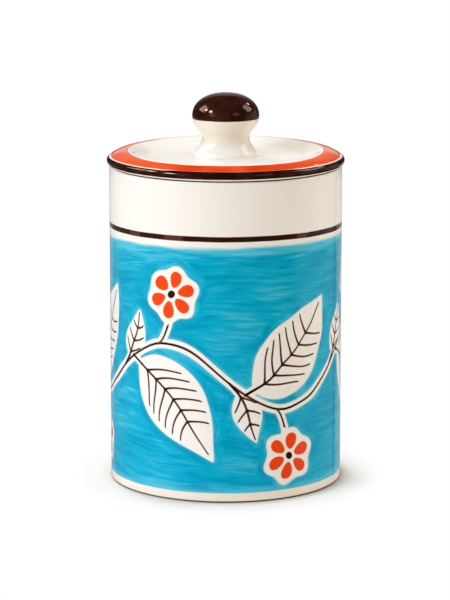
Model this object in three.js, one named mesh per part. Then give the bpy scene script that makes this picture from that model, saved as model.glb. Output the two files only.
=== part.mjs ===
// A straight-sided ceramic storage jar with a lift-off lid and a round knob.
// Millimetres, +Z up. The origin is the middle of the foot, on the surface that the jar stands on.

import * as THREE from 'three';

// Jar
const bodyRadius = 60;
const jarHeight = 164.1;
const wallThickness = 5.5;
const floorThickness = 6.5;
const floorCove = 4; // fillet between the inside floor and the wall
const footDepth = 2; // hollow under the floor, inside the foot ring
const footRingWidth = 7;
const footEdge = 1; // rounding of the foot's outer edge
const rimEdge = 2.2; // rounding of both edges of the rim

// Lid plate: a rounded edge, a raised shoulder and a shallow dish round the knob
const seatGap = 0.3; // between the rim and the lid's underside
const lidOverhang = 1.25; // how far the edge stands out past the wall
const lidEdgeThickness = 4.8;
const lidEdgeRound = 2.4; // how far in the edge's rounding starts
const shoulderWidth = 8.65; // from the rounding in to the crest
const shoulderRise = 2.7; // crest above the top of the edge
const dishSlopeWidth = 9.7; // from the crest in to the dish floor
const dishDrop = 3.1; // dish floor below the crest

// Locating ring under the lid, which keeps it central in the mouth
const bondGap = 0.1; // thin layer of glaze between the pieces of the lid
const ringClearance = 1.2; // to the inside of the wall
const ringThickness = 4.5;
const ringDepth = 13;
const ringEdge = 1.2; // rounding of the lower edges

// Seal with two lips, in a groove round the locating ring
const grooveDepth = 1.8;
const grooveHeight = 6;
const grooveDrop = 3; // top of the ring to top of the groove
const sealClearance = 0.3; // to the groove, all round
const lipClearance = 0.3; // from the lips to the inside of the wall
const sealWeb = 1.1; // thickness between the lips
const lipTip = 0.7; // thickness of a lip at its edge
const lipRoot = 1.3; // thickness of a lip where it leaves the web

// Knob
const knobHeight = 32.3;
const knobRadius = 17.25;
const knobWidestHeight = 20.5; // above the dish floor
const knobWaistRadius = 12.1;
const knobWaistHeight = 10.2;
const knobFootRadius = 16.3;
const knobFootEdge = 0.9; // height of the rounded edge of the knob's foot

// Fullness of the curves: each handle's length, as a share of its curve's width or height
const shoulderHandle = 0.14;
const shoulderLift = 0.5;
const crestReach = 0.45;
const crestHandle = 0.16;
const creaseHandle = 0.6;
const creaseRise = 0.62;
const footHandle = 0.29;
const footLean = 0.07;
const stemHandle = 0.6;
const waistHandle = 0.15;
const cheekHandle = 0.46;
const domeSideHandle = 0.49;
const domeTopHandle = 0.71;

// Facets round the axis, and along one curve of an outline
const facets = 64;
const curveSteps = 6;
const edgeSteps = 3;

// Finishes
const turquoiseGlaze = { color: 0x1c9fc4, roughness: 0.12, metalness: 0 };
const creamGlaze = { color: 0xf3ede2, roughness: 0.12, metalness: 0 };
const brownGlaze = { color: 0x32140a, roughness: 0.1, metalness: 0 };
const paleSilicone = { color: 0xe6e3dc, roughness: 0.55, metalness: 0 };

// Heights and radii that follow from the sizes above
const boreRadius = bodyRadius - wallThickness;
const floorTop = footDepth + floorThickness;
const lidUnderside = jarHeight + seatGap;
const lidRadius = bodyRadius + lidOverhang;
const lidEdgeTop = lidUnderside + lidEdgeThickness;
const shoulderRadius = lidRadius - lidEdgeRound;
const crestRadius = shoulderRadius - shoulderWidth;
const crestTop = lidEdgeTop + shoulderRise;
const dishRadius = crestRadius - dishSlopeWidth;
const dishTop = crestTop - dishDrop;
const ringTop = lidUnderside - bondGap;
const ringBottom = ringTop - ringDepth;
const ringRadius = boreRadius - ringClearance;
const grooveTop = ringTop - grooveDrop;
const grooveBottom = grooveTop - grooveHeight;
const grooveRadius = ringRadius - grooveDepth;
const knobSeat = dishTop + bondGap;

const at = (radius, height) => new THREE.Vector2(radius, height);

// Stretch of an ellipse about a centre, angles in degrees from the outward direction
function rounding(centreRadius, centreHeight, across, up, fromAngle, toAngle, steps) {
  const curve = new THREE.EllipseCurve(
    centreRadius,
    centreHeight,
    across,
    up,
    THREE.MathUtils.degToRad(fromAngle),
    THREE.MathUtils.degToRad(toAngle),
    toAngle < fromAngle,
  );
  return curve.getPoints(steps);
}

// Smooth curve from one point to another with two handles
function sweep(from, fromHandle, toHandle, to, steps) {
  return new THREE.CubicBezierCurve(from, fromHandle, toHandle, to).getPoints(steps);
}

// Turned piece: with the axis on the left, the outline runs anticlockwise round the material
function turned(name, outline, finish) {
  const tooClose = 1e-6;
  const points = outline.filter((p, i) => i === 0 || p.distanceTo(outline[i - 1]) > tooClose);
  const geometry = new THREE.LatheGeometry(points, facets);
  geometry.rotateX(Math.PI / 2);
  const mesh = new THREE.Mesh(geometry, new THREE.MeshStandardMaterial(finish));
  mesh.name = name;
  return mesh;
}

function jarBody() {
  const recessRadius = bodyRadius - footEdge - footRingWidth;
  const outline = [
    at(0, footDepth),
    at(recessRadius, footDepth),
    at(recessRadius, 0),
    ...rounding(bodyRadius - footEdge, footEdge, footEdge, footEdge, -90, 0, edgeSteps),
    ...rounding(bodyRadius - rimEdge, jarHeight - rimEdge, rimEdge, rimEdge, 0, 90, edgeSteps),
    ...rounding(boreRadius + rimEdge, jarHeight - rimEdge, rimEdge, rimEdge, 90, 180, edgeSteps),
    ...rounding(boreRadius - floorCove, floorTop + floorCove, floorCove, floorCove, 0, -90, edgeSteps),
    at(0, floorTop),
  ];
  return turned('jar_body', outline, turquoiseGlaze);
}

function lidDish() {
  const edgeMiddle = lidUnderside + lidEdgeThickness / 2;
  const shoulder = sweep(
    at(shoulderRadius, lidEdgeTop),
    at(shoulderRadius - shoulderWidth * shoulderHandle, lidEdgeTop + shoulderRise * shoulderLift),
    at(crestRadius + shoulderWidth * crestReach, crestTop),
    at(crestRadius, crestTop),
    curveSteps,
  );
  const dishSlope = sweep(
    at(crestRadius, crestTop),
    at(crestRadius - dishSlopeWidth * crestHandle, crestTop),
    at(dishRadius + dishSlopeWidth * creaseHandle, dishTop + dishDrop * creaseRise),
    at(dishRadius, dishTop),
    curveSteps,
  );
  const outline = [
    at(0, lidUnderside),
    ...rounding(shoulderRadius, edgeMiddle, lidEdgeRound, lidEdgeThickness / 2, -90, 90, 2 * edgeSteps),
    ...shoulder,
    ...dishSlope,
    at(0, dishTop),
  ];
  return turned('lid_dish', outline, creamGlaze);
}

function lidLocatingRing() {
  const innerRadius = ringRadius - ringThickness;
  const outline = [
    at(innerRadius, ringTop),
    ...rounding(innerRadius + ringEdge, ringBottom + ringEdge, ringEdge, ringEdge, 180, 270, edgeSteps),
    ...rounding(ringRadius - ringEdge, ringBottom + ringEdge, ringEdge, ringEdge, -90, 0, edgeSteps),
    at(ringRadius, grooveBottom),
    at(grooveRadius, grooveBottom),
    at(grooveRadius, grooveTop),
    at(ringRadius, grooveTop),
    at(ringRadius, ringTop),
    at(innerRadius, ringTop),
  ];
  return turned('lid_locating_ring', outline, creamGlaze);
}

function lidSeal() {
  const innerRadius = grooveRadius + sealClearance;
  const webRadius = innerRadius + sealWeb;
  const lipRadius = boreRadius - lipClearance;
  const top = grooveTop - sealClearance;
  const bottom = grooveBottom + sealClearance;
  const outline = [
    at(innerRadius, bottom),
    at(webRadius, bottom),
    at(lipRadius, bottom + lipRoot - lipTip),
    at(lipRadius, bottom + lipRoot),
    at(webRadius, bottom + lipRoot),
    at(webRadius, top - lipRoot),
    at(lipRadius, top - lipTip),
    at(lipRadius, top),
    at(innerRadius, top),
    at(innerRadius, bottom),
  ];
  return turned('lid_seal', outline, paleSilicone);
}

function lidKnob() {
  const footTop = knobSeat + knobFootEdge;
  const waist = knobSeat + knobWaistHeight;
  const widest = knobSeat + knobWidestHeight;
  const top = knobSeat + knobHeight;
  const cheek = widest - waist;
  const dome = top - widest;
  const underside = sweep(
    at(knobWaistRadius, waist),
    at(knobWaistRadius, waist + cheek * waistHandle),
    at(knobRadius, widest - cheek * cheekHandle),
    at(knobRadius, widest),
    curveSteps,
  );
  const cap = sweep(
    at(knobRadius, widest),
    at(knobRadius, widest + dome * domeSideHandle),
    at(knobRadius * domeTopHandle, top),
    at(0, top),
    curveSteps + edgeSteps,
  );
  const flareAcross = knobFootRadius - knobWaistRadius;
  const flareUp = waist - footTop;
  const flare = sweep(
    at(knobFootRadius, footTop),
    at(knobFootRadius - flareAcross * footLean, footTop + flareUp * footHandle),
    at(knobWaistRadius, waist - flareUp * stemHandle),
    at(knobWaistRadius, waist),
    curveSteps,
  );
  const outline = [
    at(0, knobSeat),
    ...rounding(knobFootRadius - knobFootEdge, footTop, knobFootEdge, knobFootEdge, -90, 0, edgeSteps),
    ...flare,
    ...underside,
    ...cap,
  ];
  return turned('lid_knob', outline, brownGlaze);
}

const lid = new THREE.Group();
lid.add(lidDish(), lidLocatingRing(), lidKnob());

const jar = new THREE.Group();
jar.add(jarBody(), lidSeal(), lid);

export default jar;
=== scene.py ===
import math
import bpy
import numpy as np
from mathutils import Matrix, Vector

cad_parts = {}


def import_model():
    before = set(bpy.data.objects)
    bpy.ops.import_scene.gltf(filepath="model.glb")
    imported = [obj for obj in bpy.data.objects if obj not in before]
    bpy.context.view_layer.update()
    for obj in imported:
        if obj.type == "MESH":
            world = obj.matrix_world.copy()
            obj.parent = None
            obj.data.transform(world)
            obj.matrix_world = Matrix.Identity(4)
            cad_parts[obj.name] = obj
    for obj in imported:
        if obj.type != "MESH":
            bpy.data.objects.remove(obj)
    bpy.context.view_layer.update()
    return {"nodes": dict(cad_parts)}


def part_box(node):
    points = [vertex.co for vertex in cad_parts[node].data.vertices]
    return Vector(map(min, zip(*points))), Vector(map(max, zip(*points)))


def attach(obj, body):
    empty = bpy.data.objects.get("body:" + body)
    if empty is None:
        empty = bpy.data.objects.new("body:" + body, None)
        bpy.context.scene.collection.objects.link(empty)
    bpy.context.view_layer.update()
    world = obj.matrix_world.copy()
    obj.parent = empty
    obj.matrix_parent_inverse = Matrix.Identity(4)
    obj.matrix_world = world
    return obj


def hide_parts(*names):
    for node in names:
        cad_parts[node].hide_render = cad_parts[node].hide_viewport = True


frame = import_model()
mm = 0.001
print("frame loaded:", len(frame["nodes"]), "nodes")


# camera, at the photographed angle
cameraSetup = {
    "aim": (-0.00036, 0.0, 0.0927),
    "distance": 1.5,
    "elevation": 11.36,
    "lens": 173.0,
}


def placeCamera(setup):
    tilt = math.radians(setup["elevation"])
    aim = Vector(setup["aim"])
    back = Vector((0.0, -math.cos(tilt), math.sin(tilt)))
    lens = bpy.data.cameras.new("jarCamera")
    lens.lens = setup["lens"]
    lens.sensor_width = 36.0
    lens.clip_start = 0.05
    lens.clip_end = 20.0
    eye = bpy.data.objects.new("jarCamera", lens)
    eye.location = aim + back * setup["distance"]
    eye.rotation_euler = (-back).to_track_quat("-Z", "Y").to_euler()
    bpy.context.scene.collection.objects.link(eye)
    bpy.context.scene.camera = eye


placeCamera(cameraSetup)
bpy.context.scene.view_settings.view_transform = "Standard"
print("camera placed")


# short words for wiring nodes

def srgb(red, green, blue):
    def linear(value):
        share = value / 255.0
        return share / 12.92 if share <= 0.04045 else ((share + 0.055) / 1.055) ** 2.4
    return (linear(red), linear(green), linear(blue), 1.0)


def addNode(tree, kind, **settings):
    node = tree.nodes.new(kind)
    for key, value in settings.items():
        setattr(node, key, value)
    return node


def plug(tree, value, socket):
    if isinstance(value, bpy.types.NodeSocket):
        tree.links.new(value, socket)
    elif value is not None:
        socket.default_value = value


def calc(tree, operation, first, second=None, third=None):
    node = addNode(tree, "ShaderNodeMath", operation=operation)
    for value, socket in zip((first, second, third), node.inputs):
        plug(tree, value, socket)
    return node.outputs[0]


def ease(tree, value, low, high, toLow=0.0, toHigh=1.0):
    node = addNode(tree, "ShaderNodeMapRange", interpolation_type="SMOOTHSTEP")
    limits = {"From Min": low, "From Max": high, "To Min": toLow, "To Max": toHigh}
    plug(tree, value, node.inputs["Value"])
    for name, limit in limits.items():
        plug(tree, limit, node.inputs[name])
    return node.outputs["Result"]


def between(tree, value, start, stop, soft):
    return calc(tree, "MULTIPLY", ease(tree, value, start - soft, start + soft),
                ease(tree, value, stop + soft, stop - soft))


def mixColour(tree, share, first, second):
    node = addNode(tree, "ShaderNodeMix", data_type="RGBA")
    plug(tree, share, node.inputs["Factor"])
    plug(tree, first, node.inputs[6])
    plug(tree, second, node.inputs[7])
    return node.outputs[2]


def cloud(tree, place, scale, detail=2.0, rough=0.5):
    node = addNode(tree, "ShaderNodeTexNoise")
    plug(tree, place, node.inputs["Vector"])
    plug(tree, scale, node.inputs["Scale"])
    plug(tree, detail, node.inputs["Detail"])
    plug(tree, rough, node.inputs["Roughness"])
    return node.outputs["Fac"]


def reading(tree, name):
    return addNode(tree, "ShaderNodeAttribute", attribute_name=name).outputs["Fac"]


def objectPlace(tree):
    return addNode(tree, "ShaderNodeTexCoord").outputs["Object"]


def splitPlace(tree, place):
    node = addNode(tree, "ShaderNodeSeparateXYZ")
    plug(tree, place, node.inputs[0])
    return node.outputs


def joinPlace(tree, x, y, z):
    node = addNode(tree, "ShaderNodeCombineXYZ")
    for value, socket in zip((x, y, z), node.inputs):
        plug(tree, value, socket)
    return node.outputs[0]


def fromAxis(tree, x, y):
    squares = calc(tree, "ADD", calc(tree, "MULTIPLY", x, x), calc(tree, "MULTIPLY", y, y))
    return calc(tree, "SQRT", squares)


def frontBearing(tree, x, y):
    return calc(tree, "DEGREES", calc(tree, "ARCTAN2", x, calc(tree, "MULTIPLY", y, -1.0)))


# clear glaze over every pottery piece: a hard shine with the slightest waviness
glazeFinish = {"roughness": 0.1, "specular": 0.36, "waveScale": 55.0, "waveDepth": 0.00004,
               "waveStrength": 0.5}


def newGlaze(name):
    material = bpy.data.materials.new(name)
    material.use_nodes = True
    tree = material.node_tree
    skin = tree.nodes["Principled BSDF"]
    skin.inputs["Roughness"].default_value = glazeFinish["roughness"]
    skin.inputs["Specular IOR Level"].default_value = glazeFinish["specular"]
    place = objectPlace(tree)
    wave = addNode(tree, "ShaderNodeBump")
    wave.inputs["Strength"].default_value = glazeFinish["waveStrength"]
    wave.inputs["Distance"].default_value = glazeFinish["waveDepth"]
    plug(tree, cloud(tree, place, glazeFinish["waveScale"], 1.0), wave.inputs["Height"])
    plug(tree, wave.outputs[0], skin.inputs["Normal"])
    return material, tree, skin, place


# turned pieces

def arc(centre, across, up, fromAngle, toAngle, steps):
    turn = np.radians(np.linspace(fromAngle, toAngle, steps + 1))
    return [(centre[0] + across * math.cos(a), centre[1] + up * math.sin(a)) for a in turn]


def sweep(start, startHandle, endHandle, end, steps):
    curve = []
    for t in np.linspace(0.0, 1.0, steps + 1):
        a, b, c, d = (1 - t) ** 3, 3 * t * (1 - t) ** 2, 3 * t * t * (1 - t), t ** 3
        curve.append(tuple(a * p + b * q + c * r + d * s
                           for p, q, r, s in zip(start, startHandle, endHandle, end)))
    return curve


tooClose = 1e-5  # points of an outline nearer than this are one, in mm


def withoutRepeats(outline):
    kept = [outline[0]]
    for point in outline[1:]:
        if math.dist(point, kept[-1]) > tooClose:
            kept.append(point)
    return kept


# outline in mm, anticlockwise round the material with the axis on the left; the seam is at the back
def turnPiece(name, outline, columns, mapWeight=None):
    path = withoutRepeats(outline)
    isRing = math.dist(path[0], path[-1]) < tooClose
    pairs = list(zip(path, path[1:]))
    lengths = [math.dist(a, b) for a, b in pairs]
    weights = [mapWeight(a, b) if mapWeight else 1.0 for a, b in pairs]
    along = np.concatenate(([0.0], np.cumsum(lengths)))
    mapHeight = np.concatenate(([0.0], np.cumsum(np.multiply(lengths, weights))))
    mapHeight /= mapHeight[-1]
    angles = math.pi / 2 + 2 * math.pi * np.arange(columns) / columns
    points, ringOf, columnOf, grid = [], [], [], []
    for ring, (radius, height) in enumerate(path[:-1] if isRing else path):
        first = len(points)
        if radius < tooClose:
            points.append((0.0, 0.0, height * mm))
            grid.append([first] * columns)
            ringOf.append(ring)
            columnOf.append(0)
            continue
        for angle in angles:
            points.append((radius * math.cos(angle) * mm, radius * math.sin(angle) * mm, height * mm))
        grid.append(list(range(first, first + columns)))
        ringOf.extend([ring] * columns)
        columnOf.extend(range(columns))
    if isRing:
        grid.append(grid[0])
    faces, mapPoints = [], []
    for ring in range(len(path) - 1):
        low, high = grid[ring], grid[ring + 1]
        for column in range(columns):
            after = (column + 1) % columns
            left, right = column / columns, (column + 1) / columns
            middle = (left + right) / 2
            if low[0] == low[-1]:
                faces.append((low[0], high[after], high[column]))
                across = ((middle, 0), (right, 1), (left, 1))
            elif high[0] == high[-1]:
                faces.append((low[column], low[after], high[0]))
                across = ((left, 0), (right, 0), (middle, 1))
            else:
                faces.append((low[column], low[after], high[after], high[column]))
                across = ((left, 0), (right, 0), (right, 1), (left, 1))
            mapPoints.extend((u, mapHeight[ring + end]) for u, end in across)
    mesh = bpy.data.meshes.new(name)
    mesh.from_pydata(points, [], faces)
    mesh.uv_layers.new(name="OFBake").data.foreach_set("uv", np.array(mapPoints, np.float32).ravel())
    mesh.shade_smooth()
    mesh.update()
    piece = bpy.data.objects.new(name, mesh)
    bpy.context.scene.collection.objects.link(piece)
    places = {
        "ring": np.array(ringOf),
        "column": np.array(columnOf),
        "along": along,
        "path": np.array(path),
    }
    return piece, places


def writeReading(piece, name, values):
    layer = piece.data.attributes.new(name, "FLOAT", "POINT")
    layer.data.foreach_set("value", np.asarray(values, np.float32))


def dress(piece, material, body, node):
    piece.data.materials.append(material)
    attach(piece, body)
    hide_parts(node)


# brush work, in mm on the unrolled wall: x runs round it from the front, z is the height

def wrapped(x, girth):
    return (x + girth / 2) % girth - girth / 2


farAway = 1e9
tiny = 1e-12


def polygonEdge(x, z, corners):
    best = np.full(len(x), farAway)
    inside = np.zeros(len(x), bool)
    for (ax, az), (bx, bz) in zip(corners, np.roll(corners, -1, axis=0)):
        dx, dz = bx - ax, bz - az
        share = np.clip(((x - ax) * dx + (z - az) * dz) / max(dx * dx + dz * dz, tiny), 0, 1)
        best = np.minimum(best, np.hypot(x - ax - share * dx, z - az - share * dz))
        if dz != 0:
            crosses = (az > z) != (bz > z)
            inside ^= crosses & (x < ax + (z - az) * dx / dz)
    return np.where(inside, -best, best)


# a brush line with its own half width at each point: distance past its edge, signed distance from
# its middle, half width there, and how near a point is to the line's ends
def strokeEdge(x, z, line, halves):
    best = np.full(len(x), farAway)
    side, wide, where = np.zeros(len(x)), np.zeros(len(x)), np.zeros(len(x))
    count = len(line) - 1
    for step in range(count):
        (ax, az), (bx, bz) = line[step], line[step + 1]
        dx, dz = bx - ax, bz - az
        share = np.clip(((x - ax) * dx + (z - az) * dz) / max(dx * dx + dz * dz, tiny), 0, 1)
        half = halves[step] + (halves[step + 1] - halves[step]) * share
        away = np.hypot(x - ax - share * dx, z - az - share * dz)
        nearer = away - half < best
        best = np.where(nearer, away - half, best)
        side = np.where(nearer, np.where(dx * (z - az) > dz * (x - ax), away, -away), side)
        wide = np.where(nearer, half, wide)
        where = np.where(nearer, (step + share) / count, where)
    return best, side, wide, np.abs(2 * where - 1)


# brown lines of a set never cross each other, so each set has its own readings
lineSets = ("stem", "rib", "upperVein", "lowerVein")
lineParts = ("Edge", "Side", "Half", "Ink")
unpainted = 40.0  # reading well away from any brush work, in mm
bareMargin = 16.0  # how far round a bare shape its distances are worked out, in mm
inkMargin = 4.0  # and round a brown line or an orange petal


# the painted wall's readings: distances to the bare shapes, the orange petals and each set of brown lines
def blankWall(x, z, girth):
    wall = {"x": x, "z": z, "girth": girth}
    for name in ("bare", "orange"):
        wall[name] = np.full(len(x), unpainted)
    for lines in lineSets:
        wall[lines + "Edge"] = np.full(len(x), unpainted)
        wall[lines + "Side"] = np.full(len(x), unpainted)
        wall[lines + "Half"] = np.full(len(x), 0.5)
        wall[lines + "Ink"] = np.full(len(x), 0.5)
    return wall


def nearShape(wall, points, margin):
    points = np.asarray(points, float)
    middle = points.mean(0)
    x = wrapped(wall["x"] - middle[0], wall["girth"])
    z = wall["z"] - middle[1]
    reach = np.abs(points - middle).max(0) + margin
    chosen = np.where((np.abs(x) < reach[0]) & (np.abs(z) < reach[1]))[0]
    return chosen, x[chosen], z[chosen], points - middle


def fillShape(wall, name, corners, margin):
    chosen, x, z, shape = nearShape(wall, corners, margin)
    wall[name][chosen] = np.minimum(wall[name][chosen], polygonEdge(x, z, shape))


def leaveBareLine(wall, line, halves):
    chosen, x, z, shape = nearShape(wall, line, bareMargin)
    wall["bare"][chosen] = np.minimum(wall["bare"][chosen], strokeEdge(x, z, shape, halves)[0])


def drawBrownLine(wall, lines, line, halves, load):
    chosen, x, z, shape = nearShape(wall, line, inkMargin)
    edge, side, wide, end = strokeEdge(x, z, shape, halves)
    nearer = edge < wall[lines + "Edge"][chosen]
    kept = chosen[nearer]
    wall[lines + "Edge"][kept] = edge[nearer]
    wall[lines + "Side"][kept] = side[nearer]
    wall[lines + "Half"][kept] = wide[nearer]
    wall[lines + "Ink"][kept] = load + 0.35 * end[nearer] ** 4


print("tools ready")


# floor, backdrop and lights
studio = {
    "floorRadius": 0.24,
    "floorSides": 96,
    "floorDrop": 0.0001,  # a hair under the foot
    "floorRoughness": 0.9,
    "floorColour": srgb(243, 238, 233),
    "contactColour": srgb(70, 60, 52),
    "contactReach": 0.008,
    "contactSpan": (-0.055, 0.035),
    "contactDepth": (0.4, 1.02),
    "shadowFrom": 0.056,
    "shadowTo": 0.086,
    "horizon": 0.12,
    "ambientAbove": 0.42,
    "ambientBelow": 0.86,
    "ambientColour": srgb(255, 240, 220),
}

# what the shiny glaze mirrors: areas of a dark room by bearing from the front and by height, in degrees
mirrored = {
    "room": 0.03,
    "tint": srgb(255, 226, 210),
    "tintFrom": 11.5,
    "tintSoft": 1.0,
    "areas": {
        "leftWindow": {"bearing": (-150.0, -42.0), "height": (-19.0, -7.0), "soft": 10.0, "strength": 0.2},
        "rightWindow": {"bearing": (73.0, 136.0), "height": (-18.0, 12.0), "soft": 6.0, "strength": 0.38},
        "leftCorner": {"bearing": (-171.0, -148.0), "height": (-18.0, -8.0), "soft": 5.0, "strength": 0.4},
        "rightCorner": {"bearing": (142.0, 171.0), "height": (-18.0, -8.0), "soft": 5.0, "strength": 0.5},
        "backdrop": {"bearing": (166.0, 194.0), "height": (3.0, 11.0), "soft": 7.0, "strength": 0.7},
        "wallBehind": {"bearing": (164.0, 196.0), "height": (9.0, 33.0), "soft": 20.0, "strength": 0.5},
        "leftPanel": {"bearing": (-117.0, -86.0), "height": (20.0, 44.0), "soft": 3.0, "strength": 6.0},
        "leftGlint": {"bearing": (-88.0, -82.0), "height": (30.0, 37.5), "soft": 3.0, "strength": 60.0},
        "frontGlint": {"bearing": (-66.0, -56.0), "height": (28.0, 37.0), "soft": 3.0, "strength": 55.0},
        "frontPanel": {"bearing": (-60.0, -40.0), "height": (9.0, 23.0), "soft": 3.0, "strength": 1.5},
        "rightPanel": {"bearing": (88.0, 117.0), "height": (21.0, 48.0), "soft": 3.0, "strength": 4.5},
        "rightGlint": {"bearing": (129.5, 135.5), "height": (33.5, 39.0), "soft": 2.0, "strength": 18.0},
        "farPanel": {"bearing": (28.0, 49.0), "height": (15.0, 31.0), "soft": 3.0, "strength": 1.4},
    },
}


def makeFloor(setup):
    reach = setup["floorRadius"]
    angles = np.linspace(0.0, 2 * math.pi, setup["floorSides"], endpoint=False)
    ring = [(reach * math.cos(a), reach * math.sin(a), -setup["floorDrop"]) for a in angles]
    mesh = bpy.data.meshes.new("studioFloor")
    mesh.from_pydata(ring, [], [list(range(len(ring)))])
    floor = bpy.data.objects.new("studioFloor", mesh)
    bpy.context.scene.collection.objects.link(floor)
    material = bpy.data.materials.new("paleFloor")
    material.use_nodes = True
    tree = material.node_tree
    skin = tree.nodes["Principled BSDF"]
    skin.inputs["Roughness"].default_value = setup["floorRoughness"]
    skin.inputs["Specular IOR Level"].default_value = 0.0
    x, y = splitPlace(tree, objectPlace(tree))[:2]
    away = fromAxis(tree, x, y)
    path = addNode(tree, "ShaderNodeLightPath")
    # deepens the shadow where the foot stands, less on the lit side
    near = addNode(tree, "ShaderNodeAmbientOcclusion", samples=16)
    near.inputs["Distance"].default_value = setup["contactReach"]
    depth = ease(tree, x, *setup["contactSpan"], *setup["contactDepth"])
    shade = calc(tree, "MULTIPLY", calc(tree, "SUBTRACT", 1.0, near.outputs["AO"]), depth)
    shade = calc(tree, "MULTIPLY", shade, path.outputs["Is Camera Ray"])
    under = addNode(tree, "ShaderNodeNewGeometry").outputs["Backfacing"]
    shade = calc(tree, "MULTIPLY", shade, calc(tree, "SUBTRACT", 1.0, under))
    tone = mixColour(tree, shade, setup["floorColour"], setup["contactColour"])
    plug(tree, tone, skin.inputs["Base Color"])
    fade = ease(tree, away, setup["shadowFrom"], setup["shadowTo"])
    white = addNode(tree, "ShaderNodeEmission")
    blend = addNode(tree, "ShaderNodeMixShader")
    plug(tree, calc(tree, "MULTIPLY", fade, path.outputs["Is Camera Ray"]), blend.inputs[0])
    plug(tree, skin.outputs[0], blend.inputs[1])
    plug(tree, white.outputs[0], blend.inputs[2])
    plug(tree, blend.outputs[0], tree.nodes["Material Output"].inputs["Surface"])
    mesh.materials.append(material)
    floor.visible_glossy = False


def makeWorld(setup, room):
    world = bpy.data.worlds.new("paleStudio")
    bpy.context.scene.world = world
    world.use_nodes = True
    tree = world.node_tree
    light = tree.nodes["Background"]
    path = addNode(tree, "ShaderNodeLightPath")
    x, y, z = splitPlace(tree, addNode(tree, "ShaderNodeTexCoord").outputs["Generated"])
    height = calc(tree, "DEGREES", calc(tree, "ARCSINE", z))
    fromFront = frontBearing(tree, x, y)
    fromBack = calc(tree, "DEGREES", calc(tree, "ARCTAN2", calc(tree, "MULTIPLY", x, -1.0), y))
    mirror = None
    for area in room["areas"].values():
        start, stop = area["bearing"]
        if stop > 180.0:  # reaches across the back
            across = between(tree, fromBack, start - 180.0, stop - 180.0, area["soft"])
        else:
            across = between(tree, fromFront, start, stop, area["soft"])
        share = calc(tree, "MULTIPLY", across, between(tree, height, *area["height"], area["soft"] / 3))
        glow = calc(tree, "MULTIPLY", share, area["strength"])
        mirror = calc(tree, "MAXIMUM", glow, room["room"] if mirror is None else mirror)
    glossy = path.outputs["Is Glossy Ray"]
    seen = calc(tree, "MAXIMUM", path.outputs["Is Camera Ray"], path.outputs["Is Transmission Ray"])
    strength = addNode(tree, "ShaderNodeMix", data_type="FLOAT")
    plug(tree, glossy, strength.inputs[0])
    horizon = setup["horizon"]
    ambient = ease(tree, z, horizon, -horizon, setup["ambientAbove"], setup["ambientBelow"])
    plug(tree, ambient, strength.inputs[2])
    plug(tree, mirror, strength.inputs[3])
    final = addNode(tree, "ShaderNodeMix", data_type="FLOAT")
    plug(tree, seen, final.inputs[0])
    plug(tree, strength.outputs[0], final.inputs[2])
    final.inputs[3].default_value = 1.0
    plug(tree, final.outputs[0], light.inputs["Strength"])
    white = (1.0, 1.0, 1.0, 1.0)
    tinted = ease(tree, height, room["tintFrom"] - room["tintSoft"], room["tintFrom"] + room["tintSoft"])
    colour = mixColour(tree, glossy, setup["ambientColour"], mixColour(tree, tinted, white, room["tint"]))
    plug(tree, mixColour(tree, seen, colour, white), light.inputs["Color"])


# where each lamp stands, as a bearing from the front and a height in degrees,
# with its distance and size in metres
lampAim = (0.0, 0.0, 0.09)
lamps = {
    "keyLight": {"bearing": -53.0, "height": 24.0, "distance": 1.7, "size": 0.7, "watts": 21.3,
                 "colour": srgb(226, 240, 255)},
    "leftBackLight": {"bearing": -152.0, "height": 46.0, "distance": 1.7, "size": 0.5, "watts": 9.0,
                      "colour": srgb(250, 254, 255)},
    "topLight": {"bearing": 180.0, "height": 87.0, "distance": 1.7, "size": 1.3, "watts": 11.0,
                 "colour": srgb(250, 254, 255)},
    "rightFill": {"bearing": 96.0, "height": 22.0, "distance": 1.7, "size": 0.7, "watts": 11.4,
                  "colour": srgb(248, 254, 255)},
}


def makeLamp(name, setup):
    lamp = bpy.data.lights.new(name, "AREA")
    lamp.shape = "SQUARE"
    lamp.size = setup["size"]
    lamp.energy = setup["watts"]
    lamp.color = setup["colour"][:3]
    holder = bpy.data.objects.new(name, lamp)
    bearing, height = math.radians(setup["bearing"]), math.radians(setup["height"])
    level = math.cos(height)
    towards = Vector((math.sin(bearing) * level, -math.cos(bearing) * level, math.sin(height)))
    holder.location = Vector(lampAim) + towards * setup["distance"]
    holder.rotation_euler = towards.to_track_quat("Z", "Y").to_euler()
    holder.visible_glossy = False
    bpy.context.scene.collection.objects.link(holder)


makeFloor(studio)
makeWorld(studio, mirrored)
for lampName, lampSetup in lamps.items():
    makeLamp(lampName, lampSetup)
print("studio lit")


# glaze colours
creamGlaze = srgb(240, 235, 228)
turquoiseMid = srgb(0, 166, 200)
turquoiseDeep = srgb(0, 148, 184)
turquoisePale = srgb(90, 197, 219)
orangeGlaze = srgb(238, 70, 12)
brownGlaze = srgb(44, 16, 7)
brownThin = srgb(104, 56, 40)
# painted shade: a darker, warmer cream for the knob's stem under its bulb
shadedStemCream = srgb(229, 219, 202)
# bare clay, dark enough to serve also as painted shadow at the foot and under the lid
bareClayAndShade = srgb(86, 68, 55)
footCream = srgb(243, 230, 214)


# jar
jarShape = {
    "columns": 472,
    "wall": 5.5,
    "floor": 6.5,
    "floorCove": 4.0,
    "footDepth": 2.0,
    "footRing": 7.0,
    "footEdge": 1.0,
    "footInnerEdge": 0.6,
    "rimEdge": 2.2,
    "paintedFrom": 3.6,
    "paintedTo": 131.6,
    "paintedRows": 160,
    "plainRows": 8,
}


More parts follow.
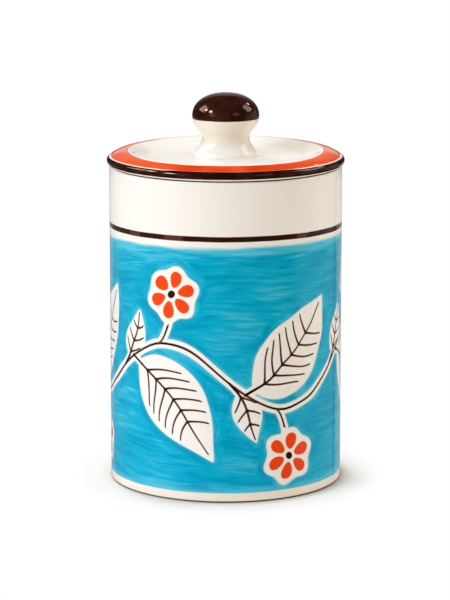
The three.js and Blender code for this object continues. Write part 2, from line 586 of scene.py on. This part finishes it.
def jarOutline(shape, radius, height):
    recess = radius - shape["footEdge"] - shape["footRing"]
    bore = radius - shape["wall"]
    floorTop = shape["footDepth"] + shape["floor"]
    inner, foot, rim, cove = (shape[key] for key in ("footInnerEdge", "footEdge", "rimEdge", "floorCove"))
    outline = [(0.0, shape["footDepth"]), (recess / 2, shape["footDepth"])]
    outline += arc((recess - inner, shape["footDepth"] - inner), inner, inner, 90, 0, 3)
    outline += arc((recess + inner, inner), inner, inner, 180, 270, 3)
    outline += arc((radius - foot, foot), foot, foot, -90, 0, 5)
    painted = np.linspace(shape["paintedFrom"], shape["paintedTo"], shape["paintedRows"])
    plain = np.linspace(shape["paintedTo"], height - rim, shape["plainRows"])[1:-1]
    outline += [(radius, z) for z in (*painted, *plain)]
    outline += arc((radius - rim, height - rim), rim, rim, 0, 90, 5)
    outline += arc((bore + rim, height - rim), rim, rim, 90, 180, 5)
    outline += arc((bore - cove, floorTop + cove), cove, cove, 0, -90, 4)
    outline += [(bore / 2, floorTop), (0.0, floorTop)]
    return outline


# leafy vine, in mm: a wavy stem with big leaves, small leaves and blossoms in each half wave
vine = {
    "repeats": 3,
    "frontPhase": 180.0,
    "middle": 64.0,
    "swing": 17.0,
    "stemBare": 2.2,
    "stemBrown": 0.62,
    "leafFrom": 28.0,
    "leafTo": 160.0,
    "leafReach": 41.0,
    "leafHalf": 16.0,
    "leafVeins": 6,
    "leafStalk": 5.0,
    "smallFrom": 6.0,
    "smallReach": (13.0, 31.0),
    "smallHalf": 7.0,
    "smallVeins": 3,
    "smallStalk": 6.0,
    "blossomAt": 98.0,
    "blossomReach": 42.0,
    "blossomRadius": 12.5,
    "petals": 6,
    "stalkBare": 1.9,
    "stalkBrown": 0.55,
    "ribBrown": (0.72, 0.4),
    "veinBrown": (0.6, 0.42),
    "veinFrom": 0.1,  # shares of the blade
    "veinSpan": 0.54,
    "veinLean": 0.24,
    "veinReach": 0.8,
    "petalMiddle": 0.63,  # shares of the blossom's radius
    "petalLong": 0.35,
    "petalWide": 0.25,
    "blossomEdge": 1.1,
    "blossomLobe": 0.09,
    "blossomEye": 0.16,
    "sway": 0.35,  # unsteady hand
    "tremble": 0.25,
    "seed": 11,
}


def stemHeight(x, girth):
    wave = 2 * np.pi * vine["repeats"] * x / girth + np.radians(vine["frontPhase"])
    return vine["middle"] + vine["swing"] * np.sin(wave)


def wavePlace(phase, repeat, girth):
    return (repeat + (phase - vine["frontPhase"]) / 360.0) * girth / vine["repeats"]


def bend(start, handle, end, count):
    t = np.linspace(0.0, 1.0, count)[:, None]
    start, handle, end = np.array(start, float), np.array(handle, float), np.array(end, float)
    return start * (1 - t) ** 2 + 2 * handle * t * (1 - t) + end * t ** 2


def paintLeaf(wall, base, tip, half, veins, stalk, load):
    base, tip = np.array(base, float), np.array(tip, float)
    rib = bend(base, base + (tip - base) * (0.5, 0.2), tip, 49)
    reach = np.concatenate(([0.0], np.cumsum(np.hypot(*np.diff(rib, axis=0).T))))
    blade = (reach - stalk) / (reach[-1] - stalk)  # 0 where the blade starts, 1 at its tip
    run = np.gradient(rib, axis=0)
    across = np.stack([-run[:, 1], run[:, 0]], 1) / np.hypot(run[:, 0], run[:, 1])[:, None]
    width = half * np.sin(np.pi * np.clip(blade, 0, 1) ** 0.74) ** 0.9

    def spot(share, out):
        middle = np.array([np.interp(share, blade, rib[:, axis]) for axis in (0, 1)])
        side = np.array([np.interp(share, blade, across[:, axis]) for axis in (0, 1)])
        return middle + side * out * np.interp(share, blade, width)

    shares = np.linspace(0, 1, 33)
    edge = [spot(share, 1.0) for share in shares] + [spot(share, -1.0) for share in shares[::-1]]
    fillShape(wall, "bare", edge, bareMargin)
    leaveBareLine(wall, rib[:12], np.full(12, vine["stalkBare"]))
    drawn = [base] + [spot(share, 0.0) for share in np.linspace(0, 0.93, 22)]
    drawBrownLine(wall, "rib", drawn, np.linspace(*vine["ribBrown"], len(drawn)), load)
    for number in range(veins):
        root = vine["veinFrom"] + vine["veinSpan"] * number / max(veins - 1, 1)
        end = root + vine["veinLean"] * (1 - root)
        for lines, out in (("upperVein", vine["veinReach"]), ("lowerVein", -vine["veinReach"])):
            handle = spot(0.55 * root + 0.45 * end, 0.62 * out)
            vein = bend(spot(root, 0.0), handle, spot(end, out), 7)
            drawBrownLine(wall, lines, vein, np.linspace(*vine["veinBrown"], len(vein)), load)


def paintBlossom(wall, centre, radius, turn):
    angles = np.linspace(0, 2 * np.pi, 73)[:-1]
    lobes = radius * (vine["blossomEdge"] + vine["blossomLobe"] * np.cos(vine["petals"] * (angles - turn)))
    edge = np.stack([centre[0] + lobes * np.cos(angles), centre[1] + lobes * np.sin(angles)], 1)
    fillShape(wall, "bare", edge, bareMargin)
    for number in range(vine["petals"]):
        facing = turn + 2 * np.pi * number / vine["petals"]
        out = vine["petalMiddle"] * radius + vine["petalLong"] * radius * np.cos(angles)
        wide = vine["petalWide"] * radius * np.sin(angles) * (1 + 0.25 * np.cos(angles))
        fillShape(wall, "orange", np.stack([
            centre[0] + out * np.cos(facing) - wide * np.sin(facing),
            centre[1] + out * np.sin(facing) + wide * np.cos(facing)], 1), inkMargin)
    dot = vine["blossomEye"] * radius
    drawBrownLine(wall, "rib", np.array([centre, centre]), [dot, dot], 0.6)


def paintVine(x, z, girth):
    chance = np.random.default_rng(vine["seed"])
    turn = 2 * np.pi * x / girth
    wobbleX = vine["sway"] * np.sin(0.19 * z + 0.9) + vine["tremble"] * np.sin(11 * turn + 0.31 * z)
    wobbleZ = vine["sway"] * np.sin(7 * turn + 0.4) + vine["tremble"] * np.sin(17 * turn + 0.12 * z)
    wall = blankWall(x + wobbleX, z + wobbleZ, girth)
    perWave = 36
    for repeat in range(vine["repeats"]):
        for side, lag in ((-1, 0.0), (1, 180.0)):
            def stemPoint(phase):
                place = wavePlace(phase + lag, repeat, girth)
                return np.array([place, stemHeight(place, girth)])

            ends = np.linspace(-90.0, 90.0, perWave // 2 + 1)
            line = np.array([stemPoint(phase) for phase in ends])
            leaveBareLine(wall, line, np.full(len(line), vine["stemBare"]))
            drawBrownLine(wall, "stem", line, np.full(len(line), vine["stemBrown"]), 0.45)
            drift = chance.normal(0, 1.2, 8)
            tip = (wavePlace(vine["leafTo"] + lag, repeat, girth) + drift[0],
                   vine["middle"] + side * (vine["leafReach"] + drift[1]))
            paintLeaf(wall, stemPoint(vine["leafFrom"]), tip, vine["leafHalf"] + 0.5 * drift[2],
                      vine["leafVeins"], vine["leafStalk"], 0.42 + 0.03 * drift[3])
            start = stemPoint(vine["smallFrom"])
            across, up = vine["smallReach"]
            paintLeaf(wall, start, (start[0] + across + drift[4], start[1] - side * (up + drift[5])),
                      vine["smallHalf"], vine["smallVeins"], vine["smallStalk"], 0.4)
            heart = np.array([wavePlace(vine["blossomAt"] + lag, repeat, girth) + drift[6],
                              vine["middle"] - side * vine["blossomReach"]])
            foot = stemPoint(vine["blossomAt"] - 26.0)
            stalk = bend(foot, (heart[0] - 3.0, foot[1]), heart, 9)
            leaveBareLine(wall, stalk, np.full(len(stalk), vine["stalkBare"]))
            drawBrownLine(wall, "rib", stalk[:-3], np.full(len(stalk) - 3, vine["stalkBrown"]), 0.4)
            paintBlossom(wall, heart, vine["blossomRadius"], 0.3 + 0.1 * drift[7])
    return wall


# brush marks of the turquoise coat: how close along the stroke and across it, and their detail
brushWork = {
    "patches": (30.0, 0.075, 2.0),
    "strokes": (46.0, 0.42, 2.0),
    "bristles": (68.0, 1.1, 3.0),
    "tilt": 12.0,
    "wander": 5.0,
    "shorter": 2.2,  # strokes that go round a bare shape are shorter
    "shapeReach": (7.0, 1.5),
}

# where the bands of the wall stand, in mm
wallBands = {
    "groundFrom": 4.6,
    "groundFadeIn": 0.25,
    "groundTo": 132.2,
    "groundSlip": 1.3,
    "groundFadeOut": 2.2,
    "lineFrom": 133.6,
    "lineTo": 136.3,
    "lineSoft": 0.15,
    "lineLifts": ((-172.0, -160.0), (-131.0, -122.0), (-54.0, -46.0),  # where the brush lifted, in degrees
                  (-31.0, -21.0), (37.0, 43.0), (112.0, 119.0)),
    "liftSoft": 1.0,
    # dark bare clay at the foot and the rim top, which also paints the shadow lines there
    "clayShadeTop": 0.75,
    "thinTo": 6.0,
    "bareRimShade": 0.35,
    "frontRise": 1.25,
    "paintDepth": 2.5,
    "sideDrop": 0.9,
}


def paintedGlaze(bands):
    material, tree, skin, place = newGlaze("painted_glaze")
    x, y, z = splitPlace(tree, place)
    height = calc(tree, "MULTIPLY", z, 1000.0)
    flow = reading(tree, "brushFlow")
    # hand-turned bands, not quite level
    rise = -bands["frontRise"] / (bands["radius"] * mm)
    forward = calc(tree, "MAXIMUM", calc(tree, "MULTIPLY", y, rise), 0.0)
    banded = calc(tree, "SUBTRACT", calc(tree, "ADD", height, bands["sideDrop"]), forward)
    away = fromAxis(tree, x, y)
    outer = (bands["radius"] - bands["paintDepth"]) * mm
    outside = ease(tree, away, outer - 0.5 * mm, outer + 0.5 * mm)  # the inside stays cream
    bare = reading(tree, "bareEdge")
    orange = reading(tree, "orangeEdge")

    tilt = calc(tree, "MULTIPLY", calc(tree, "SUBTRACT", cloud(tree, place, 12.0, 1.0), 0.5),
                brushWork["tilt"])
    slanted = calc(tree, "ADD", flow, tilt)
    hugging = ease(tree, bare, *brushWork["shapeReach"])
    wander = calc(tree, "MULTIPLY", calc(tree, "SUBTRACT", cloud(tree, place, 70.0, 2.0), 0.5),
                  brushWork["wander"])

    def brushed(along, across, detail):
        level = joinPlace(tree, calc(tree, "MULTIPLY", x, along), calc(tree, "MULTIPLY", y, along),
                          calc(tree, "MULTIPLY", slanted, across))
        short = brushWork["shorter"] * along
        around = joinPlace(tree, calc(tree, "MULTIPLY", calc(tree, "ADD", x, z), short),
                           calc(tree, "MULTIPLY", calc(tree, "SUBTRACT", y, z), short),
                           calc(tree, "MULTIPLY", calc(tree, "ADD", bare, wander), across))
        either = addNode(tree, "ShaderNodeMix", data_type="FLOAT")
        plug(tree, hugging, either.inputs[0])
        plug(tree, cloud(tree, level, 1.0, detail, 0.55), either.inputs[2])
        plug(tree, cloud(tree, around, 1.0, detail, 0.55), either.inputs[3])
        return either.outputs[0]

    def blend(parts):
        total = calc(tree, "MULTIPLY", parts[0][0], parts[0][1])
        for value, share in parts[1:]:
            total = calc(tree, "MULTIPLY_ADD", value, share, total)
        return total

    patches = brushed(*brushWork["patches"])
    strokes = brushed(*brushWork["strokes"])
    bristles = brushed(*brushWork["bristles"])
    # about a half, more where the coat is thin
    load = blend([(patches, 0.4), (strokes, 0.32), (bristles, 0.28)])
    pale = ease(tree, load, 0.5, 0.7, 0.0, 0.72)
    deep = ease(tree, load, 0.51, 0.42, 0.0, 1.0)
    nearTop = ease(tree, blend([(banded, 1.0), (strokes, 9.0), (bristles, 5.0)]),
                   bands["groundTo"] - 0.5, bands["groundTo"] + 5.5, 0.0, 0.75)
    nearFoot = ease(tree, blend([(height, 1.0), (strokes, -5.0), (bristles, -3.0)]),
                    bands["groundFrom"] + 1.0, bands["groundFrom"] - 4.0, 0.0, 0.8)
    halo = calc(tree, "MULTIPLY", ease(tree, bare, 2.8, 0.0), ease(tree, patches, 0.4, 0.6, 0.15, 0.55))
    ground = mixColour(tree, deep, turquoiseMid, turquoiseDeep)
    for share in (pale, nearTop, nearFoot, halo):
        ground = mixColour(tree, share, ground, turquoisePale)

    rag = calc(tree, "MULTIPLY", calc(tree, "SUBTRACT", strokes, 0.5), 2.4)
    # the ground's top sinks a little to one side
    slip = ease(tree, x, 0.04, -0.055, 0.0, bands["groundSlip"])
    top = ease(tree, calc(tree, "ADD", calc(tree, "ADD", banded, slip), rag),
               bands["groundTo"], bands["groundTo"] - bands["groundFadeOut"])
    lowEdge = calc(tree, "MULTIPLY_ADD", rag, 0.15, calc(tree, "MULTIPLY_ADD", forward, -0.25, height))
    foot = ease(tree, lowEdge, bands["groundFrom"] - bands["groundFadeIn"],
                bands["groundFrom"] + bands["groundFadeIn"])
    cover = calc(tree, "MULTIPLY", calc(tree, "MULTIPLY", top, foot), ease(tree, bare, -0.15, 0.8))
    cover = calc(tree, "MULTIPLY", cover, outside)
    thin = ease(tree, height, bands["thinTo"], bands["groundFrom"])  # clay warms the thin glaze by the foot
    colour = mixColour(tree, cover, mixColour(tree, thin, creamGlaze, footCream), ground)
    colour = mixColour(tree, ease(tree, orange, 0.2, -0.2), colour, orangeGlaze)

    def brownAt(load):
        return mixColour(tree, load, brownThin, brownGlaze)

    for lines in lineSets:
        edge, side, half, ink = (reading(tree, lines + part) for part in lineParts)
        across = calc(tree, "SUBTRACT", calc(tree, "ABSOLUTE", side), half)
        line = calc(tree, "MULTIPLY", ease(tree, across, 0.14, -0.14), ease(tree, edge, 0.7, 0.3))
        colour = mixColour(tree, line, colour, brownAt(ease(tree, ink, 0.25, 0.7)))
    waver = calc(tree, "MULTIPLY", calc(tree, "SUBTRACT", cloud(tree, place, 60.0), 0.5), 0.5)
    level = calc(tree, "ADD", banded, waver)
    bearing = frontBearing(tree, x, y)
    thinCoat = ease(tree, cloud(tree, joinPlace(tree, x, y, 0.3), 95.0, 2.0), 0.45, 0.75, 0.0, 0.25)
    for start, stop in bands["lineLifts"]:
        thinCoat = calc(tree, "MAXIMUM", thinCoat, between(tree, bearing, start, stop, bands["liftSoft"]))
    band = between(tree, level, bands["lineFrom"], bands["lineTo"], bands["lineSoft"])
    band = calc(tree, "MULTIPLY", band, outside)
    colour = mixColour(tree, band, colour, brownAt(ease(tree, thinCoat, 0.0, 1.0, 0.98, 0.35)))
    # bare clay at the foot and along the rim top; its dark colour also paints the contact shadow under the
    # foot and the shadow of the seam under the lid
    unglazedShadeFrom = bands["rimTop"] - bands["bareRimShade"]
    clayAndShade = calc(tree, "MAXIMUM", ease(tree, height, bands["clayShadeTop"] + 0.35, bands["clayShadeTop"] - 0.3),
                ease(tree, height, unglazedShadeFrom - 0.15, unglazedShadeFrom + 0.15))
    colour = mixColour(tree, clayAndShade, colour, bareClayAndShade)
    plug(tree, colour, skin.inputs["Base Color"])
    plug(tree, calc(tree, "ADD", calc(tree, "MULTIPLY", clayAndShade, 0.6), glazeFinish["roughness"]),
         skin.inputs["Roughness"])
    return material


def makeJar():
    low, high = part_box("jar_body")
    radius, height = high.x / mm, high.z / mm
    girth = 2 * math.pi * radius

    def mapWeight(a, b):
        return 2.5 if min(a[0], b[0]) > radius - 0.01 else 1.0

    outline = jarOutline(jarShape, radius, height)
    piece, places = turnPiece("painted_jar", outline, jarShape["columns"], mapWeight)
    at = places["path"][places["ring"]]
    x = (places["column"] / jarShape["columns"] - 0.5) * girth
    onWall = np.where((at[:, 0] > radius - 0.01) & (at[:, 1] < jarShape["paintedTo"] + 0.01))[0]
    wall = paintVine(x[onWall], at[onWall, 1], girth)
    readings = {
        "bareEdge": wall["bare"],
        "orangeEdge": wall["orange"],
        "brushFlow": at[onWall, 1] + 2.0 * np.exp(-np.maximum(wall["bare"], 0) / 6.0),
    }
    for lines in lineSets:
        readings.update({lines + part: wall[lines + part] for part in lineParts})
    for name, values in readings.items():
        everywhere = at[:, 1].copy() if name == "brushFlow" else np.full(len(at), unpainted)
        everywhere[onWall] = values
        writeReading(piece, name, everywhere)
    glaze = paintedGlaze({**wallBands, "rimTop": height, "radius": radius})
    dress(piece, glaze, "jar", "jar_body")


makeJar()
print("jar turned and painted")


# lid plate
lidShape = {
    "columns": 288,
    "edgeRound": 2.4,
    "edgeThickness": 4.8,
    "shoulder": 8.65,
    "shoulderHandle": 0.14,
    "shoulderLift": 0.5,
    "crestReach": 0.45,
    "dishSlope": 9.7,
    "crestHandle": 0.16,
    "slopeHandle": 0.6,
    "slopeRise": 0.62,
    "dishDrop": 3.1,
}
lidBands = {
    "orangeFrom": 0.0,
    "orangeTo": 0.45,
    "brownFrom": 1.3,
    "brownTo": 5.3,
    "creep": 0.75,  # brown runs up at the front
    "frontDraw": 4.1,  # orange starts further out at the front
    "backDraw": 0.5,  # further in towards the back
    "farDraw": 2.8,  # and further out again at the far back
    "orangeTones": (srgb(215, 55, 7), srgb(234, 78, 20)),
    "orangeSheen": srgb(242, 95, 46),  # paler orange towards both sides: painted sheen
    "brownTones": (srgb(32, 10, 5), srgb(56, 24, 15)),
    "soft": 0.12,
}


def lidOutline(shape, radius, underside, crest):
    edge, thick = shape["edgeRound"], shape["edgeThickness"]
    shoulder = (radius - edge, underside + thick)
    top = (shoulder[0] - shape["shoulder"], crest)
    dish = (top[0] - shape["dishSlope"], crest - shape["dishDrop"])
    rise, reach, slope = crest - shoulder[1], shape["shoulder"], shape["dishSlope"]
    outline = [(0.0, underside), (radius * 0.4, underside), (radius * 0.7, underside)]
    outline += arc((shoulder[0], underside + thick / 2), edge, thick / 2, -90, 90, 24)
    rising = (shoulder[0] - reach * shape["shoulderHandle"], shoulder[1] + rise * shape["shoulderLift"])
    outline += sweep(shoulder, rising, (top[0] + reach * shape["crestReach"], crest), top, 20)
    sinking = (dish[0] + slope * shape["slopeHandle"], dish[1] + shape["dishDrop"] * shape["slopeRise"])
    outline += sweep(top, (top[0] - slope * shape["crestHandle"], crest), sinking, dish, 18)
    outline += [(dish[0] * share, dish[1]) for share in (0.985, 0.95, 0.8, 0.6, 0.4, 0.2, 0.0)]
    return outline, top, shoulder


def bandedGlaze(bands):
    material, tree, skin, place = newGlaze("banded_glaze")
    waver = calc(tree, "MULTIPLY", calc(tree, "SUBTRACT", cloud(tree, place, 70.0), 0.5), 0.5)
    fromCrest = calc(tree, "ADD", reading(tree, "pastCrest"), waver)
    fromEdge = calc(tree, "ADD", reading(tree, "pastEdge"), waver)
    across, depth = splitPlace(tree, place)[:2]
    front = calc(tree, "MULTIPLY_ADD", across, -0.06, depth)
    creep = ease(tree, front, -0.048, -0.054, 0.0, bands["creep"])
    drawn = calc(tree, "SUBTRACT", ease(tree, depth, 0.0, 0.04, 0.0, bands["backDraw"]),
                 ease(tree, depth, 0.0, -0.05, 0.0, bands["frontDraw"]))
    drawn = calc(tree, "SUBTRACT", drawn, ease(tree, depth, 0.033, 0.047, 0.0, bands["farDraw"]))

    def past(level, start):
        return ease(tree, level, start - bands["soft"], start + bands["soft"])

    def before(level, stop):
        return ease(tree, level, stop + bands["soft"], stop - bands["soft"])

    orange = mixColour(tree, ease(tree, cloud(tree, place, 45.0, 3.0), 0.35, 0.65), *bands["orangeTones"])
    # the orange pales towards both sides of the lid: painted sheen of the reflections there
    sideSheen = ease(tree, calc(tree, "ABSOLUTE", across), 0.012, 0.05, 0.0, 0.72)
    orange = mixColour(tree, sideSheen, orange, bands["orangeSheen"])
    brown = mixColour(tree, ease(tree, cloud(tree, place, 110.0, 2.0), 0.35, 0.65), *bands["brownTones"])
    ring = calc(tree, "MULTIPLY", past(calc(tree, "ADD", fromCrest, drawn), bands["orangeFrom"]),
                before(fromEdge, bands["orangeTo"]))
    rim = calc(tree, "MULTIPLY", past(calc(tree, "ADD", fromEdge, creep), bands["brownFrom"]),
               before(fromEdge, bands["brownTo"]))
    colour = mixColour(tree, ring, creamGlaze, orange)
    colour = mixColour(tree, rim, colour, brown)
    plug(tree, colour, skin.inputs["Base Color"])
    return material


def makeLid():
    low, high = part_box("lid_dish")
    outline, crest, edge = lidOutline(lidShape, high.x / mm, low.z / mm, high.z / mm)
    piece, places = turnPiece("banded_lid", outline, lidShape["columns"])
    for name, start in (("pastCrest", crest), ("pastEdge", edge)):
        nearest = np.argmin(np.hypot(*(places["path"] - np.array(start)).T))
        writeReading(piece, name, (places["along"][nearest] - places["along"])[places["ring"]])
    dress(piece, bandedGlaze(lidBands), "lid", "lid_dish")


makeLid()
print("lid turned")


# locating ring under the lid
collarShape = {
    "columns": 192,
    "thickness": 4.5,
    "edge": 1.2,
    "grooveDepth": 1.8,
    "grooveHeight": 6.0,
    "grooveDrop": 3.0,
    "grooveEdge": 0.25,
}


def collarOutline(shape, radius, bottom, top):
    inner, edge, small = radius - shape["thickness"], shape["edge"], shape["grooveEdge"]
    deep = radius - shape["grooveDepth"]
    grooveTop = top - shape["grooveDrop"]
    grooveBottom = grooveTop - shape["grooveHeight"]
    outline = [(inner, top)]
    outline += arc((inner + edge, bottom + edge), edge, edge, 180, 270, 8)
    outline += arc((radius - edge, bottom + edge), edge, edge, -90, 0, 8)
    outline += arc((radius - small, grooveBottom - small), small, small, 0, 90, 4)
    outline += [(deep, grooveBottom), (deep, grooveTop)]
    outline += arc((radius - small, grooveTop + small), small, small, -90, 0, 4)
    outline += [(radius, top), (inner, top)]
    return outline


def plainCreamGlaze():
    material, tree, skin, place = newGlaze("cream_glaze")
    speck = ease(tree, cloud(tree, place, 700.0, 1.0), 0.72, 0.78)
    tone = mixColour(tree, cloud(tree, place, 30.0), srgb(238, 231, 221), creamGlaze)
    colour = mixColour(tree, calc(tree, "MULTIPLY", speck, 0.25), tone, bareClayAndShade)
    plug(tree, colour, skin.inputs["Base Color"])
    return material


def makeCollar():
    low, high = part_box("lid_locating_ring")
    outline = collarOutline(collarShape, high.x / mm, low.z / mm, high.z / mm)
    piece = turnPiece("lid_collar", outline, collarShape["columns"])[0]
    dress(piece, plainCreamGlaze(), "lid", "lid_locating_ring")


makeCollar()
print("collar turned")


# knob
knobShape = {
    "columns": 192,
    "widestUp": 20.5,
    "waistRadius": 12.1,
    "waistUp": 10.2,
    "footRadius": 16.3,
    "footEdge": 0.9,
    "footFillet": 0.5,
    "sunk": 0.25,
    "footHandle": 0.29,
    "footLean": 0.07,
    "stemHandle": 0.6,
    "waistHandle": 0.15,
    "cheekHandle": 0.46,
    "domeSideHandle": 0.49,
    "domeTopHandle": 0.71,
    "paintUp": 19.35,
    "brownTones": (srgb(40, 14, 8), srgb(58, 26, 16)),
}


def knobOutline(shape, radius, seat, top):
    foot, waistRadius = shape["footRadius"], shape["waistRadius"]
    footTop, waist, widest = seat + shape["footEdge"], seat + shape["waistUp"], seat + shape["widestUp"]
    cheek, dome = widest - waist, top - widest
    across, up = foot - waistRadius, waist - footTop
    sunk, fillet = seat - shape["sunk"], shape["footFillet"]
    outline = [(0.0, sunk), (foot / 2, sunk), (foot + fillet, sunk)]
    outline += arc((foot + fillet, sunk + fillet), fillet, fillet, 270, 180, 5)
    leaning = (foot - across * shape["footLean"], footTop + up * shape["footHandle"])
    outline += sweep((foot, footTop), leaning,
                     (waistRadius, waist - up * shape["stemHandle"]), (waistRadius, waist), 24)
    outline += sweep((waistRadius, waist), (waistRadius, waist + cheek * shape["waistHandle"]),
                     (radius, widest - cheek * shape["cheekHandle"]), (radius, widest), 24)
    outline += sweep((radius, widest), (radius, widest + dome * shape["domeSideHandle"]),
                     (radius * shape["domeTopHandle"], top), (0.0, top), 30)
    return outline


def knobGlaze(seat, paintUp):
    material, tree, skin, place = newGlaze("brown_glaze")
    z = splitPlace(tree, place)[2]
    waver = calc(tree, "MULTIPLY", calc(tree, "SUBTRACT", cloud(tree, place, 90.0), 0.5), 0.6)
    up = calc(tree, "SUBTRACT", calc(tree, "MULTIPLY", z, 1000.0), seat)
    level = calc(tree, "ADD", up, waver)
    brown = mixColour(tree, ease(tree, cloud(tree, place, 120.0, 2.0), 0.35, 0.65), *knobShape["brownTones"])
    # the stem's cream darkens upwards under the bulb: painted shade
    cream = mixColour(tree, ease(tree, up, 3.0, 10.0), creamGlaze, shadedStemCream)
    colour = mixColour(tree, ease(tree, level, paintUp - 0.15, paintUp + 0.15), cream, brown)
    plug(tree, colour, skin.inputs["Base Color"])
    return material


def makeKnob():
    low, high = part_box("lid_knob")
    seat = low.z / mm
    outline = knobOutline(knobShape, high.x / mm, seat, high.z / mm)
    piece = turnPiece("two_tone_knob", outline, knobShape["columns"])[0]
    dress(piece, knobGlaze(seat, knobShape["paintUp"]), "lid", "lid_knob")


makeKnob()
print("knob turned")


# soft seal with two lips
sealShape = {"columns": 192, "web": 1.1, "inner": 51.8, "lipTip": 0.7, "lipRoot": 1.3, "edge": 0.2}


def sealOutline(shape, radius, bottom, top):
    inner, web = shape["inner"], shape["inner"] + shape["web"]
    root, tip, edge = shape["lipRoot"], shape["lipTip"], shape["edge"]
    outline = [(inner, bottom), (web, bottom), (radius - edge, bottom + root - tip)]
    outline += arc((radius - edge, bottom + root - tip / 2), edge, tip / 2, -90, 90, 6)
    outline += [(web, bottom + root), (web, top - root), (radius - edge, top - tip)]
    outline += arc((radius - edge, top - tip / 2), edge, tip / 2, -90, 90, 6)
    outline += [(inner, top), (inner, bottom)]
    return outline


def siliconeFinish():
    material = bpy.data.materials.new("soft_seal")
    material.use_nodes = True
    tree = material.node_tree
    skin = tree.nodes["Principled BSDF"]
    place = objectPlace(tree)
    skin.inputs["Specular IOR Level"].default_value = 0.35
    plug(tree, mixColour(tree, cloud(tree, place, 60.0, 3.0), srgb(222, 218, 209), srgb(236, 233, 226)),
         skin.inputs["Base Color"])
    plug(tree, ease(tree, cloud(tree, place, 400.0), 0.3, 0.7, 0.42, 0.58), skin.inputs["Roughness"])
    return material


def makeSeal():
    low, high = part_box("lid_seal")
    outline = sealOutline(sealShape, high.x / mm, low.z / mm, high.z / mm)
    piece = turnPiece("soft_seal", outline, sealShape["columns"])[0]
    dress(piece, siliconeFinish(), "seal", "lid_seal")


makeSeal()
print("seal moulded")
